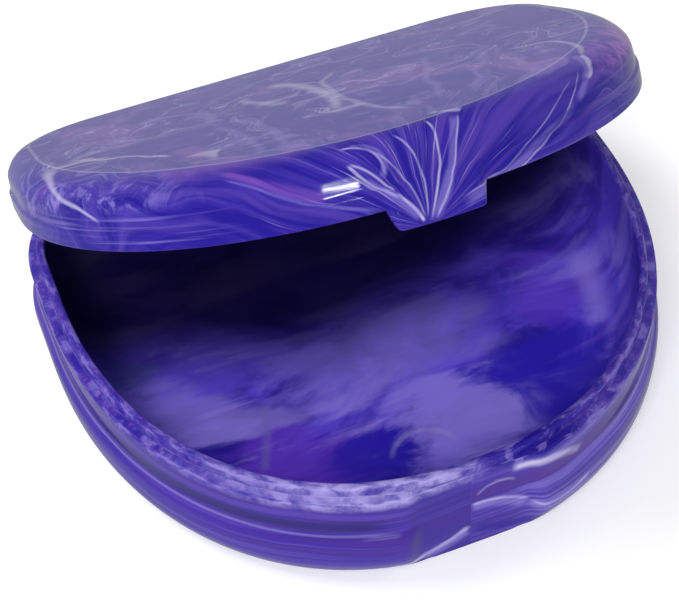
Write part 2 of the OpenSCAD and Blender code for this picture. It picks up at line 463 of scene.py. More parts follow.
# %% Baking a tree's result into a plain mesh
def baked(name, tree, inputs):
    """Runs a Geometry Nodes tree and returns its result as one ordinary object."""
    maker = bpy.data.objects.new(name + "_maker", bpy.data.meshes.new(name + "_maker"))
    bpy.context.scene.collection.objects.link(maker)
    modifier = maker.modifiers.new(tree.name, "NODES")
    modifier.node_group = tree
    for item in tree.interface.items_tree:
        if item.in_out == "INPUT" and item.name in inputs:
            modifier[item.identifier] = inputs[item.name]
    bpy.context.view_layer.update()
    graph = bpy.context.evaluated_depsgraph_get()
    mesh = bpy.data.meshes.new_from_object(maker.evaluated_get(graph), depsgraph=graph)
    mesh.name = name
    maker.modifiers.remove(modifier)
    bpy.data.objects.remove(maker)
    made = bpy.data.objects.new(name, mesh)
    bpy.context.scene.collection.objects.link(made)
    return made


def points_of(mesh):
    """The mesh's vertices as rows of numbers, in mm."""
    flat = np.zeros(len(mesh.vertices) * 3)
    mesh.vertices.foreach_get("co", flat)
    return flat.reshape(-1, 3) / MM


def volume_of(mesh):
    """Signed volume in cm3: above zero when the faces point outwards."""
    mesh.calc_loop_triangles()
    corners = np.zeros(len(mesh.loop_triangles) * 3, int)
    mesh.loop_triangles.foreach_get("vertices", corners)
    a, b, c = (points_of(mesh)[corners.reshape(-1, 3)[:, i]] for i in range(3))
    return float(np.einsum("ij,ij->i", a, np.cross(b, c)).sum() / 6000)


# %% [markdown]
# ## Two sections
# A section is drawn from the outside in: how far it lies inside the rim's outline, and how
# high. The bowl's runs from the middle of the underside, up the outside, over the ledge and
# the lip, and down to the middle of the floor. The lid's runs from its ceiling down to the
# skirt, then up and over the crease to the middle of the panel. Straight stretches with
# rounded corners suit the moulded steps, and a smooth curve suits the soft walls.

# %% The bowl's section
def closing(inset, height, steps, start, stop):
    """Rings that close a floor, as the third number goes from start to stop."""
    return [(inset, height, start + (stop - start) * i / steps) for i in range(steps + 1)]


def plain(points):
    """Points whose rings neither shrink nor go over to the crease."""
    return [(p[0], p[1], 0.0) for p in points]


lip_z = ledge_z + lip_h
under = closing(4.4, 0.35, 14, -1.0, 0.0)
foot = rounded([
    (4.4, 0.35, 0), (3.4, 0.35, 0.3), (3.1, 0.0, 0.3), (1.3, 0.0, 0.6), (0.5, 0.3, 0.6)])[1:]
band = eased([(0.5, 0.3), (0.02, 1.1), (-0.6, 2.9), (-0.8, 5.1), (-0.74, 6.7), (-0.5, 7.5),
              (-0.12, 7.95), (0.1, 8.5), (0.14, 9.4), (0.06, 11.4), (0.0, 13.4)])
rim = rounded([(0.0, 13.4, 0), (0.0, ledge_z, 0.4), (ledge_w, ledge_z, 0.15),
               (ledge_w + 0.05, lip_z, 0.45), (ledge_w + lip_w, lip_z, 0.5),
               (ledge_w + lip_w + 0.1, 12.6, 0)])
inside = eased([(2.55, 12.6), (2.75, 9.6), (3.4, 6.9), (5.2, 4.1), (8.2, 2.45), (12.5, 1.8)])
floor_rings = closing(12.5, 1.8, 22, 0.0, -1.0)
bowl_section = under + plain(foot + band[1:] + rim[1:] + inside[1:]) + floor_rings
RIM_FIRST = len(under) + len(foot) + len(band) - 1
RIM_LAST = RIM_FIRST + len(rim) - 7
print("rows in the bowl's section", len(bowl_section), "rim from", RIM_FIRST, "to", RIM_LAST)

# %% The lid's section, as it lies shut
top_z = ledge_z + lid_h
skirt_top = lid_z + flange_h
inner = skirt_in + skirt_t
ceiling = closing(6.4, top_z - lid_t, 14, -1.0, 0.0)
hollow = eased([(6.4, top_z - lid_t), (4.6, 20.35), (3.3, 19.6), (2.55, 18.2), (2.3, 16.6)])
rebate = rounded([(2.3, 16.6, 0), (2.15, 15.75, 0.2), (inner, 15.75, 0.1), (inner, 15.3, 0)])
rebate += rounded([(inner, 15.1, 0), (inner, lid_z, 0.15), (skirt_in, lid_z, 0.3), (skirt_in, 15.1, 0)])
skirt = [(skirt_in, 15.1 + 0.2 * i) for i in range(7)]
step = rounded([(skirt_in, 16.3, 0), (skirt_in, skirt_top - 0.15, 0.2),
                (0.62, skirt_top + 0.12, 0.25), (0.63, 17.4, 0)])
wall = eased([(0.63, 17.4, 0.0), (0.635, 18.3, 0.01), (0.63, 19.3, 0.035), (0.6, 20.1, 0.115),
              (0.53, 20.8, 0.25), (0.4, 21.35, 0.43), (0.2, 21.76, 0.65), (0.05, 22.0, 0.88),
              (0.0, 22.05, 0.965)])
crease = [(0.0, 22.07 + 0.03 * t * (2 - t), 0.975 + 0.035 * t) for t in (0, 0.25, 0.5, 0.75, 1)]
panel = closing(0.0, top_z, 28, 1.02, 2.0)
lid_section = ceiling + plain(hollow[1:] + rebate[1:] + skirt[1:] + step[1:]) + wall[1:] + crease + panel
print("rows in the lid's section", len(lid_section))

# %% Make both skins
plan_curve = path_object("plan", [(x, y, 0) for x, y in rim_plan], True)
crease_curve = path_object("crease_plan", [(x, y, 0) for x, y in crease_plan], True)


def swept(name, section, **inputs):
    """A skin of the given section in mm. The third number of each point isn't a length."""
    curve = path_object(name + "_section", [(x, y, s / MM) for x, y, s in section], False)
    values = {"Plan": plan_curve, "Crease Plan": crease_curve, "Section": curve,
              "Fall From": 1.0, "Fall To": 2.0, "Recess Plane": -1.0}
    values.update(inputs)
    made = baked(name, SKIN, values)
    bpy.data.objects.remove(curve)
    return made


bowl = swept("bowl_shell", bowl_section, **{
    "Recess Plane": recess_y * MM, "Recess Half Width": recess_half * MM, "Cheek Width": cheek_w * MM})
lid = swept("lid_shell", lid_section, **{
    "Fall": math.tan(math.radians(1.0)), "Fall From": 17.4 * MM, "Fall To": 21.0 * MM,
    "Tab Half Width": tab_w / 2 * MM, "Tab Drop": (lid_z - ledge_z + tab_drop) * MM,
    "Tab Taper": tab_taper / tab_w, "Tab Bulge": 0.78 * MM, "Skirt Top": skirt_top * MM})
for curve in (plan_curve, crease_curve):
    bpy.data.objects.remove(curve)
for made in (bowl, lid):
    ends = points_of(made.data)
    print(made.name, len(made.data.polygons), "faces,", round(volume_of(made.data), 2), "cm3, box",
          ends.min(0).round(2), ends.max(0).round(2))


# %% [markdown]
# ## The hinge
# Five knuckles share one pin: three belong to the bowl and two to the lid. A tree sweeps a
# round boss and its arm along the axis and repeats them, so a change of pitch needs one number.

# %% The tree that repeats a knuckle
def knuckle_tree():
    """Sweeps one knuckle along a short rail, and repeats it along the hinge axis."""
    tree, given = new_tree("knuckle_row", [
        ("Shape", "Object"), ("Rail", "Object"), ("Count", "Int"), ("Pitch", "Float"),
        ("First X", "Float"), ("Material", "Material")])
    sockets = {"Curve": shape_of(tree, given["Rail"]),
               "Profile Curve": shape_of(tree, given["Shape"]), "Fill Caps": True}
    one = add(tree, "GeometryNodeCurveToMesh", sockets).outputs[0]
    sockets = {"Count": given["Count"], "Start Location": together(tree, given["First X"]),
               "Offset": together(tree, given["Pitch"])}
    row = add(tree, "GeometryNodeMeshLine", sockets).outputs[0]
    row = add(tree, "GeometryNodeInstanceOnPoints", {"Points": row, "Instance": one}).outputs[0]
    row = add(tree, "GeometryNodeRealizeInstances", {"Geometry": row}).outputs[0]
    dressed = {"Geometry": row, "Material": given["Material"]}
    row = add(tree, "GeometryNodeSetMaterial", dressed).outputs[0]
    add(tree, "NodeGroupOutput", {0: row})
    return tree


KNUCKLES = knuckle_tree()
print("nodes in the knuckle tree", len(KNUCKLES.nodes))


# %% A row of knuckles
KNUCKLE_R, KNUCKLE_PITCH, KNUCKLE_LENGTH = 1.7, 7.6, 7.3


def knuckles(name, arm, count, first_x, length):
    """A row of knuckles, each a round boss with an arm, given about the hinge axis in mm."""
    angles = [i * math.tau / 40 for i in range(40)]
    boss = [(KNUCKLE_R * math.cos(a), KNUCKLE_R * math.sin(a)) for a in angles]
    data = bpy.data.curves.new(name + "_shape", "CURVE")
    data.dimensions = "3D"
    for loop in (boss, arm):
        line = data.splines.new("POLY")
        line.points.add(len(loop) - 1)
        for place, (across, high) in zip(line.points, loop):
            place.co = (-across * MM, -high * MM, 0, 1)
        line.use_cyclic_u = True
    shape = bpy.data.objects.new(name + "_shape", data)
    bpy.context.scene.collection.objects.link(shape)
    ends = (length / 2, length / 2 - 0.05, length / 2 - 0.2)
    stops = [-x for x in ends] + list(reversed(ends))
    rail = path_object(name + "_rail", [(x, 0, 0) for x in stops], False)
    for point, radius in zip(rail.data.splines[0].points, (0.89, 0.95, 1.0, 1.0, 0.95, 0.89)):
        point.radius = radius
    made = baked(name, KNUCKLES, {
        "Shape": shape, "Rail": rail, "Count": count,
        "Pitch": 2 * KNUCKLE_PITCH * MM, "First X": first_x * MM})
    for helper in (shape, rail):
        bpy.data.objects.remove(helper)
    made.data.transform(Matrix.Translation((0, hinge_y * MM, hinge_z * MM)))
    return made


# %% Make both rows
wall_y = case_d / 2 - hinge_y
bowl_arm = [(wall_y - 0.8, -4.4), (0.95, -1.1), (1.45, -0.3), (0.0, 0.0), (wall_y - 0.8, 0.0)]
lid_arm = [(wall_y - skirt_in - 0.35, 1.2), (-1.55, 1.2), (-1.25, 0.1), (0.0, 0.0), (0.75, 1.2),
           (wall_y - skirt_in - 0.35, 3.35)]
bowl_row = knuckles("bowl_knuckles", bowl_arm, 3, -2 * KNUCKLE_PITCH, KNUCKLE_LENGTH)
lid_row = knuckles("lid_knuckles", lid_arm, 2, -KNUCKLE_PITCH, KNUCKLE_LENGTH)
for row in (bowl_row, lid_row):
    print(row.name, len(row.data.polygons), "faces,", round(volume_of(row.data), 3), "cm3")


# %% [markdown]
# ## Where the melt ran
# The plastic entered the lid at its latch tab, so its streaks fan out from there. To paint
# them, each point of the lid needs its place on the flattened-out skin, seen from that gate:
# how far to the side it lies, and how far up the wall and then back over the top. These
# places are kept as attributes, so the pattern opens and shuts with the lid.

# %% Store the flow coordinates
def front_curve(x):
    """The y of the case's front outline at x, in mm."""
    share = np.clip(np.abs(x) / (case_w / 2), 0, 0.995) ** front_power
    return wide_y - front_d * (1 - share) ** (1 / front_power)


def store(mesh, name, rows):
    """Keeps one vector per vertex under the given name."""
    layer = mesh.attributes.new(name, "FLOAT_VECTOR", "POINT")
    layer.data.foreach_set("vector", np.ascontiguousarray(rows, float).ravel())


spots = points_of(lid.data)
back_from_front = np.maximum(spots[:, 1] - front_curve(spots[:, 0]) - skirt_in, 0)
climb = spots[:, 2] - (lid_z - tab_drop) + back_from_front
store(lid.data, "shut", spots)
store(lid.data, "fan", np.column_stack([spots[:, 0], climb, back_from_front]))
store(bowl.data, "shut", points_of(bowl.data))
print("climb from the tab's edge to the back", round(float(climb.max()), 1), "mm")


# %% [markdown]
# ## Marbled plastic
# One colour never covers a swirled moulding. Here each material starts from a deep blue
# violet, lays paler streaks along the flow, and then adds the few large swirls one by one, as
# strokes in millimetres. A glossy clear skin over it all mirrors the bright room.

# %% Helpers for painting
def rgb(red, green, blue):
    """A screen colour of 0 to 255 per channel, as the renderer wants it."""
    parts = [c / 255 for c in (red, green, blue)]
    return tuple(c / 12.92 if c < 0.04 else ((c + 0.055) / 1.055) ** 2.4 for c in parts) + (1.0,)


DEEP, INK, ROYAL = rgb(30, 16, 138), rgb(20, 12, 78), rgb(54, 38, 152)
VIOLET, LAVENDER, PALE = rgb(80, 58, 162), rgb(128, 114, 198), rgb(204, 198, 232)
PLUM, PINK, STEEL = rgb(84, 40, 158), rgb(146, 92, 190), rgb(88, 98, 178)


def over(tree, below, colour, mask):
    """Lays a colour over another where the mask is 1."""
    mix = tree.nodes.new("ShaderNodeMix")
    mix.data_type = "RGBA"
    for socket, value in ((mix.inputs[0], mask), (mix.inputs[6], below), (mix.inputs[7], colour)):
        if isinstance(value, bpy.types.NodeSocket):
            tree.links.new(value, socket)
        else:
            socket.default_value = value
    return mix.outputs[2]


def grain(tree, parts, detail=3.0, rough=0.55, warp=0.0):
    """Noise of about 0 to 1 at the point given by three numbers or sockets."""
    point = together(tree, *parts)
    noise = add(tree, "ShaderNodeTexNoise", {
        "Vector": point, "Scale": 1.0, "Detail": detail, "Roughness": rough, "Distortion": warp})
    return noise.outputs[0]


def stroke(tree, u, v, points, wide, soft):
    """A soft line of arcs, each through three points in mm. It thins out at the ends."""
    spot = together(tree, u, v)
    whole = None
    for k in range(0, len(points) - 2, 2):
        a, b, c = (complex(*point) for point in points[k:k + 3])
        ratio = (c - a) / (b - a)
        if abs(ratio.imag) < 0.02:
            b += (c - a) * 0.02j
            ratio = (c - a) / (b - a)
        centre = a - (a - b) * (ratio - abs(ratio) ** 2) / (2j * ratio.imag)
        radius = abs(a - centre)
        aim = (a + c) / 2 - centre
        aim /= abs(aim)
        end_cosine = (((a - centre) / radius) * aim.conjugate()).real
        from_centre = {0: spot, 1: (centre.real, centre.imag, 0)}
        away = add(tree, "ShaderNodeVectorMath", from_centre, operation="SUBTRACT").outputs[0]
        far = add(tree, "ShaderNodeVectorMath", {0: away}, operation="LENGTH").outputs[1]
        gap = calc(tree, "ABSOLUTE", calc(tree, "SUBTRACT", far, radius))
        onto_aim = {0: away, 1: (aim.real, aim.imag, 0)}
        reach = add(tree, "ShaderNodeVectorMath", onto_aim, operation="DOT_PRODUCT").outputs[1]
        facing = calc(tree, "DIVIDE", reach, far)
        ends = fade(tree, facing, end_cosine, end_cosine + (1 - end_cosine) * 0.4)
        arc = product(tree, fade(tree, gap, wide / 2, wide / 2 + soft, 1.0, 0.0), ends)
        whole = arc if whole is None else calc(tree, "MAXIMUM", whole, arc)
    return whole


def blob(tree, u, v, middle, radii, strength=1.0):
    """A soft oval patch: strength at its middle, 0 past its rim."""
    du = calc(tree, "DIVIDE", calc(tree, "SUBTRACT", u, middle[0]), radii[0])
    dv = calc(tree, "DIVIDE", calc(tree, "SUBTRACT", v, middle[1]), radii[1])
    far = calc(tree, "ADD", product(tree, du, du), product(tree, dv, dv))
    return fade(tree, far, 0.05, 1.0, strength, 0.0)


def gloss(name, colour_of, roughness=0.07, bump=0.02, shine=0.35, roughness_of=None):
    """Glossy plastic. colour_of(tree) paints it; roughness_of(tree) can vary the gloss."""
    material = bpy.data.materials.new(name)
    material.use_nodes = True
    tree = material.node_tree
    surface = tree.nodes["Principled BSDF"]
    tree.links.new(colour_of(tree), surface.inputs["Base Color"])
    if roughness_of:
        tree.links.new(roughness_of(tree), surface.inputs["Roughness"])
    else:
        surface.inputs["Roughness"].default_value = roughness
    surface.inputs["IOR"].default_value = 1.4
    surface.inputs["Specular IOR Level"].default_value = shine
    object_place = add(tree, "ShaderNodeTexCoord").outputs["Object"]
    waves = {"Vector": object_place, "Scale": 160.0, "Detail": 1.0}
    ripple = add(tree, "ShaderNodeTexNoise", waves).outputs[0]
    dents = {"Strength": bump, "Distance": 0.0006, "Height": ripple}
    bent = add(tree, "ShaderNodeBump", dents).outputs[0]
    tree.links.new(bent, surface.inputs["Normal"])
    return material


def stored(tree, name):
    """The three numbers of a stored attribute."""
    value = add(tree, "ShaderNodeAttribute", attribute_name=name).outputs["Vector"]
    return apart(tree, value)


# %% [markdown]
# ## Painting the lid
# Polar coordinates about the latch tab are what makes streaks run like melt: noise that is
# fine in the angle and coarse in the distance comes out as long lines. An image would do it
# too, but a rule stays sharp at any size. Over the rule go the panel's clouds, the mottled
# ends, and the large swirls that the eye remembers, drawn one by one.

# %% The lid's coordinates
def lid_flow(tree):
    """Where a point of the lid lies, as the melt saw it from the latch tab."""
    side, climb, behind = stored(tree, "fan")
    x, y, z = stored(tree, "shut")
    du = calc(tree, "ADD", side, 1.9)
    dv = calc(tree, "ADD", climb, 0.4)
    squares = calc(tree, "ADD", product(tree, du, du), product(tree, dv, dv))
    away = calc(tree, "SQRT", squares)
    slow = [times(tree, c, 0.055) for c in (x, y, z)]
    bend = times(tree, grain(tree, slow, 2.0), 1.0, -0.5)
    bend = product(tree, bend, fade(tree, away, 5.0, 45.0, 0.1, 1.9))
    turned = calc(tree, "ADD", calc(tree, "ARCTAN2", dv, du), bend)
    fine = grain(tree, (times(tree, turned, 15.0), times(tree, away, 0.035), 9.0), 4.0, 0.6)
    top = fade(tree, behind, 1.5, 6.0)
    return SimpleNamespace(
        side=side, climb=climb, behind=behind, x=x, y=y, z=z,
        away=away, turned=turned, fine=fine, top=top)


# %% Streaks along the flow
def lid_streaks(tree, at):
    """Broad bands, then finer and finer streaks."""
    broad = grain(tree, (times(tree, at.turned, 5.5), times(tree, at.away, 0.035), 3.0), 2.0)
    hair = grain(tree, (times(tree, at.turned, 38.0), times(tree, at.away, 0.05), 1.0), 3.0, 0.6)
    colour = over(tree, DEEP, ROYAL, fade(tree, at.fine, 0.38, 0.62))
    colour = over(tree, colour, VIOLET, fade(tree, broad, 0.46, 0.66, 0.0, 0.75))
    colour = over(tree, colour, PLUM, fade(tree, broad, 0.30, 0.38, 0.45, 0.0))
    near = fade(tree, at.away, 7.0, 22.0, 1.0, 0.25)
    bright = product(tree, fade(tree, at.fine, 0.56, 0.70, 0.0, 0.6), near)
    colour = over(tree, colour, LAVENDER, bright)
    return over(tree, colour, PALE, product(tree, fade(tree, hair, 0.62, 0.74, 0.0, 0.5), near))


# %% The cloudy panel
def lid_panel(tree, at, colour):
    """Paler marble with thin veins, on the lid's flat top only."""
    marble = grain(tree, (times(tree, at.turned, 6.0), times(tree, at.away, 0.075), 5.0), 5.0, 0.62, 1.5)
    veins = grain(tree, (times(tree, at.turned, 3.4), times(tree, at.away, 0.05), 2.0), 4.0, 0.6, 1.8)
    blush = grain(tree, (times(tree, at.x, 0.09, 5.0), times(tree, at.y, 0.05), 8.0), 3.0, 0.6, 0.8)
    layers = [
        (LAVENDER, fade(tree, marble, 0.49, 0.68, 0.0, 0.6)),
        (PLUM, fade(tree, marble, 0.32, 0.45, 0.6, 0.0)),
        (PINK, fade(tree, blush, 0.5, 0.68, 0.0, 0.4))]
    colour = over(tree, colour, rgb(48, 28, 162), times(tree, at.top, 0.75))
    for ink, mask in layers:
        colour = over(tree, colour, ink, product(tree, mask, at.top))
    ridge = calc(tree, "ABSOLUTE", calc(tree, "SUBTRACT", veins, 0.5))
    inner_top = fade(tree, at.behind, 6.0, 22.0)
    thread = product(tree, fade(tree, ridge, 0.0, 0.02, 0.4, 0.0), inner_top)
    return over(tree, colour, PALE, product(tree, thread, fade(tree, marble, 0.42, 0.6)))


# %% Both ends of the lid
def lid_ends(tree, at, colour):
    """Mottled swirls under the panel's rim, and level lines along the skirt."""
    mottle = grain(tree, [times(tree, c, 0.33) for c in (at.x, at.y, at.z)], 5.0, 0.65, 1.6)
    rim_band = product(tree, fade(tree, at.climb, 7.0, 9.5), fade(tree, at.behind, 5.0, 9.0, 1.0, 0.0))
    left = product(tree, fade(tree, at.x, -34.0, -20.0, 1.0, 0.0), rim_band)
    right = product(tree, fade(tree, at.x, 20.0, 32.0), rim_band)
    colour = over(tree, colour, LAVENDER, product(tree, fade(tree, mottle, 0.46, 0.66), left))
    colour = over(tree, colour, PINK, product(tree, fade(tree, mottle, 0.36, 0.58, 0.15, 1.0), right))
    place = (times(tree, at.x, 0.03), times(tree, at.y, 0.03), times(tree, at.z, 1.5))
    level = fade(tree, grain(tree, place, 3.0, 0.6), 0.5, 0.64, 0.0, 0.55)
    ends = fade(tree, calc(tree, "ABSOLUTE", at.side), 17.0, 30.0)
    low = fade(tree, at.climb, 6.0, 9.0, 1.0, 0.0)
    return over(tree, colour, LAVENDER, product(tree, product(tree, ends, low), level))


# %% Strokes on the lid's front wall, as (side, climb) in mm
FRONT_SWIRLS = [
    (PALE, 0.95, 0.10, 0.22, [(-8.7, 8.8), (-6.5, 5.6), (-4.3, 3.6), (-3.1, 2.2), (-2.2, 0.2)]),
    (PALE, 0.75, 0.05, 0.2, [(-8.5, 8.8), (-6.4, 7.0), (-4.6, 4.2), (-3.2, 2.2), (-2.1, 0.2)]),
    (LAVENDER, 0.9, 0.3, 0.6, [(-7.4, 6.4), (-5.2, 4.2), (-2.4, 0.6)]),
    (PALE, 0.75, 0.06, 0.2, [(-8.8, 11.2), (-5.6, 9.4), (-5.0, 6.2)]),
    (LAVENDER, 0.8, 0.2, 0.4, [(-7.8, 11.2), (-4.9, 8.8), (-5.4, 5.9)]),
    (PALE, 0.85, 0.06, 0.2, [(0.9, 12.5), (0.8, 5.5), (-1.5, 0.0)]),
    (LAVENDER, 0.9, 0.4, 0.6, [(4.1, 11.6), (2.4, 5.6), (-1.2, 0.0)]),
    (PALE, 0.7, 0.06, 0.16, [(4.6, 11.4), (3.0, 6.0), (-1.0, 0.0)]),
    (PALE, 0.6, 0.05, 0.18, [(-3.0, 11.2), (-1.2, 6.0), (-1.8, 0.4)]),
    (PALE, 0.5, 0.05, 0.16, [(-5.6, 9.6), (-3.0, 5.0), (-2.0, 0.4)]),
    (LAVENDER, 0.9, 0.35, 0.6, [(22.6, 15.6), (22.8, 11.0), (19.3, 6.8), (12.0, 4.2), (2.0, 0.8)]),
    (PALE, 0.9, 0.28, 0.4, [(23.6, 14.6), (23.6, 11.6), (21.9, 8.8)]),
    (PALE, 0.6, 0.05, 0.16, [(21.6, 11.5), (17.6, 6.4), (4.0, 2.2)]),
    (PALE, 0.45, 0.05, 0.16, [(19.6, 10.5), (13.6, 5.8), (2.0, 1.6)]),
    (PINK, 0.65, 0.3, 0.8, [(-20.0, 12.6), (-16.4, 8.4), (-11.0, 5.4)]),
    (LAVENDER, 0.7, 0.06, 0.3, [(-20.5, 11.2), (-15.4, 6.6), (-6.0, 2.6)]),
    (PALE, 0.7, 0.35, 0.5, [(2.4, 14.8), (3.8, 13.2), (5.4, 12.0)])]
print("strokes on the lid's front wall", len(FRONT_SWIRLS))

# %% Strokes on the panel, as (x, y) in mm
TOP_SWIRLS = [
    (PALE, 0.7, 0.2, 1.1, [(-4.4, 19.5), (-1.0, 4.0), (-3.2, -13.5)]),
    (PALE, 0.5, 0.1, 1.1, [(-8.4, 13.0), (-8.0, 6.0), (-5.0, 1.0)]),
    (PALE, 0.8, 0.25, 0.5, [(-35.0, 2.0), (-29.5, -1.4), (-22.6, -12.4)]),
    (PALE, 0.8, 0.7, 1.0, [(-20.6, -13.5), (-19.6, -16.5), (-18.2, -18.5)]),
    (PINK, 0.6, 1.2, 1.6, [(-20.9, -8.5), (-20.4, -13.5), (-21.2, -18.5)]),
    (LAVENDER, 0.8, 0.1, 1.2, [(-23.0, 13.0), (-18.0, 12.0), (-15.7, 1.0)]),
    (LAVENDER, 0.7, 0.2, 0.8, [(-13.0, -3.0), (-11.0, -13.0), (-12.6, -24.0)]),
    (LAVENDER, 0.6, 0.2, 0.8, [(-16.0, -3.0), (-14.0, -14.0), (-15.6, -24.0)]),
    (PALE, 0.5, 0.15, 0.6, [(4.5, 14.0), (-0.4, -6.0), (2.6, -26.0)]),
    (LAVENDER, 0.7, 0.2, 0.7, [(14.0, 4.0), (9.4, -10.0), (6.0, -26.0)]),
    (LAVENDER, 0.6, 0.15, 0.7, [(19.0, -2.0), (14.0, -14.0), (9.0, -26.0)]),
    (PALE, 0.7, 0.12, 0.5, [(20.5, -6.0), (25.0, -11.6), (23.6, -21.8)])]
print("strokes on the panel", len(TOP_SWIRLS))


# %% Lay the strokes on
def swirled(tree, colour, u, v, strokes, where=None, factor=1.0):
    """Paints each stroke (ink, strength, width, softness, points) over the colour."""
    for ink, strength, wide, soft, line in strokes:
        mask = stroke(tree, u, v, line, wide, soft)
        if where is None:
            mask = times(tree, mask, strength * factor)
        else:
            mask = product(tree, mask, times(tree, where, strength * factor))
        colour = over(tree, colour, ink, mask)
    return colour


def lid_swirls(tree, at, colour):
    """The hand-placed strokes sway a little, and break up where the fine streaks are dark."""
    sway = times(tree, grain(tree, [times(tree, c, 0.22) for c in (at.x, at.y, at.z)], 1.0), 0.9, -0.45)
    u = calc(tree, "ADD", at.side, sway)
    v = calc(tree, "SUBTRACT", at.climb, sway)
    broken = fade(tree, at.fine, 0.30, 0.52, 0.35, 1.0)
    colour = swirled(tree, colour, u, v, FRONT_SWIRLS, broken, 0.62)
    swing = grain(tree, (times(tree, at.x, 0.09), times(tree, at.y, 0.07), 2.0), 1.5)
    p = calc(tree, "ADD", at.x, times(tree, sway, 1.2))
    q = calc(tree, "ADD", at.y, times(tree, swing, 16.0, -8.0))
    colour = swirled(tree, colour, p, q, TOP_SWIRLS, at.top, 0.6)

    # A thin pale line follows the panel's rim, a painted highlight along the crease, and an arc crosses
    # the left end.
    rim = add(tree, "ShaderNodeAttribute", attribute_name="blend").outputs["Fac"]
    off_crease_highlight = calc(tree, "ABSOLUTE", calc(tree, "SUBTRACT", rim, 0.995))
    colour = over(tree, colour, PALE, fade(tree, off_crease_highlight, 0.006, 0.02, 0.3, 0.0))
    arc = stroke(tree, q, at.z, [(3.0, 21.4), (-7.8, 19.9), (-17.0, 17.6)], 0.04, 0.32)
    at_left = fade(tree, at.x, -34.0, -20.0, 1.0, 0.0)
    return over(tree, colour, PALE, product(tree, arc, times(tree, at_left, 0.55)))


def lid_colour(tree):
    """The whole paint of the lid."""
    at = lid_flow(tree)
    colour = lid_streaks(tree, at)
    colour = lid_panel(tree, at, colour)
    colour = lid_ends(tree, at, colour)
    return lid_swirls(tree, at, colour)


# %% [markdown]
# ## Painting the bowl
# The bowl has three finishes in one moulding: soft clouds inside, level lines outside, and
# blotchy dashes on the rim between them. Three materials with hard borders could do it, but
# the real melt runs on from one to the next. So one material blends three paints by the
# section's row number, which says exactly where the rim begins and ends.

# %% Patches and threads inside the bowl, as (x, y) in mm
FOGGY, DUSK, POOL = rgb(168, 148, 246), rgb(112, 62, 214), rgb(46, 34, 186)
PATCHES = [
    (FOGGY, 0.55, (-29.0, -1.5), (10.0, 8.0)), (FOGGY, 0.6, (-22.0, -7.5), (10.0, 5.0)),
    (DUSK, 0.8, (-17.0, -15.0), (12.0, 8.0)), (POOL, 0.85, (-8.5, -17.5), (8.0, 6.0)),
    (FOGGY, 0.7, (5.5, -16.5), (12.0, 8.0)), (FOGGY, 0.45, (1.5, -2.5), (18.0, 10.0)),
    (POOL, 0.95, (17.5, -16.5), (8.0, 9.5)), (POOL, 0.9, (26.0, -12.0), (7.0, 8.0)),
    (STEEL, 0.6, (-31.0, 5.5), (6.0, 4.0)), (DUSK, 0.5, (27.0, -3.0), (9.0, 10.0))]
THREADS = [
    (FOGGY, 0.6, 0.1, 2.6, [(31.8, 4.0), (31.3, -3.0), (28.6, -10.5)]),
    (LAVENDER, 0.5, 0.1, 1.0, [(-16.6, -4.0), (-18.4, -9.0), (-20.6, -15.0)]),
    (LAVENDER, 0.4, 0.1, 1.0, [(-23.4, -3.5), (-17.6, -5.8), (-11.4, -9.0)]),
    (PALE, 0.2, 0.05, 0.6, [(-5.0, -19.5), (-0.5, -16.2), (4.0, -20.0)])]
print("patches", len(PATCHES), "threads", len(THREADS))


# %% Inside of the bowl
def bowl_inside(tree, x, y, z):
    """Soft clouds, and a painted shade that goes near black at the back, under the lid."""
    place = (times(tree, x, 0.06), times(tree, y, 0.09), times(tree, z, 0.05))
    cloud = grain(tree, place, 5.0, 0.6, 0.9)
    place = (times(tree, x, 0.035, 7.0), times(tree, y, 0.13), times(tree, z, 0.1))
    drift = grain(tree, place, 5.0, 0.6, 0.5)
    colour = over(tree, rgb(48, 32, 160), rgb(104, 82, 226), fade(tree, cloud, 0.35, 0.62))
    colour = over(tree, colour, rgb(160, 138, 240), fade(tree, drift, 0.48, 0.68, 0.0, 0.75))
    u = calc(tree, "ADD", x, times(tree, cloud, 30.0, -15.0))
    v = calc(tree, "ADD", y, times(tree, drift, 34.0, -17.0))
    for ink, strength, middle, radii in PATCHES:
        colour = over(tree, colour, ink, blob(tree, u, v, middle, radii, strength))
    colour = swirled(tree, colour, x, y, THREADS)

    # The painted shade starts further back on the left, and further forward behind the tab.
    lit_left = fade(tree, x, -34.0, -8.0, 9.0, 0.0)
    off_middle = calc(tree, "ABSOLUTE", calc(tree, "SUBTRACT", x, 3.0))
    shaded = fade(tree, off_middle, 4.0, 24.0, 4.0, 0.0)
    into_painted_shade = calc(tree, "SUBTRACT", calc(tree, "MULTIPLY_ADD", x, -0.22, y), lit_left)
    into_painted_shade = calc(tree, "ADD", into_painted_shade, shaded)
    return over(tree, colour, rgb(10, 5, 38), fade(tree, into_painted_shade, -3.0, 15.0, 0.0, 0.95))


# %% Strokes in the latch recess, as (x, height) in mm
RECESS_SWIRLS = [
    (PALE, 0.9, 0.2, 1.0, [(4.6, 12.6), (8.8, 12.2), (14.8, 9.9)]),
    (PALE, 0.5, 0.05, 0.4, [(5.4, 10.2), (1.6, 10.8), (0.2, 9.6)]),
    (LAVENDER, 1.0, 0.5, 1.1, [(-0.6, 7.6), (3.6, 6.9), (7.0, 5.0), (10.6, 3.6), (16.0, 4.8)]),
    (PALE, 0.5, 0.05, 0.4, [(-0.6, 8.1), (3.8, 7.4), (7.2, 5.4), (10.8, 4.0), (16.0, 5.2)]),
    (DEEP, 0.9, 0.6, 0.8, [(-0.4, 3.4), (5.0, 1.6), (13.0, 1.2)]),
    (PALE, 0.85, 0.1, 0.6, [(-11.3, 1.0), (-5.2, 1.7), (-0.5, 4.2)]),
    (LAVENDER, 0.8, 0.2, 1.2, [(-7.0, 1.0), (-3.6, 1.8), (-0.8, 3.4)])]
print("strokes in the recess", len(RECESS_SWIRLS))


